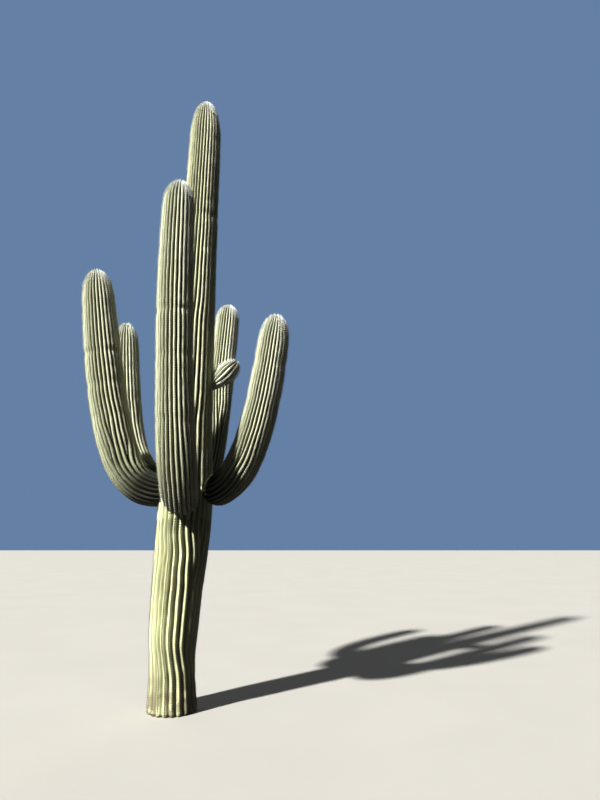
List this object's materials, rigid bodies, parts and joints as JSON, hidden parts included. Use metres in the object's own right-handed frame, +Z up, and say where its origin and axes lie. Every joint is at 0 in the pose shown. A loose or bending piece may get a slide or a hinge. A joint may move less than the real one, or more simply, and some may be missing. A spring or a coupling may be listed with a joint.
{
  "type": "saguaro cactus",
  "caption": "Tall columnar desert cactus: a ribbed trunk with arms that swing out and turn upward, and one short bud arm.",
  "frame": {"origin": "centre of the flat cut under the trunk, at ground level", "axes": "+Z up along the trunk, +X to the right and -Y towards the viewer of the picture"},
  "size_m": [2.187, 2.0138, 6.56],
  "materials": {
    "trunk_skin": "waxy ribbed skin, yellow-green on the crests, dull green in the valleys, greyer near the foot",
    "arm_skin": "waxy ribbed skin, pale green on the crests, dark green in the valleys",
    "bud_skin": "young waxy ribbed skin, fresher green",
    "areole_felt": "short grey-brown felt",
    "spines": "dull straw to grey, white at the tips of the stems"
  },
  "bodies": {
    "root": {"trunk": "trunk_skin", "front_arm_elbow": "arm_skin", "front_arm_column": "arm_skin", "left_arm_elbow": "arm_skin", "left_arm_column": "arm_skin", "right_arm_elbow": "arm_skin", "right_arm_column": "arm_skin", "rear_left_arm_elbow": "arm_skin", "rear_left_arm_column": "arm_skin", "rear_right_arm_elbow": "arm_skin", "rear_right_arm_column": "arm_skin", "bud_arm": "bud_skin"}
  },
  "joints": []
}
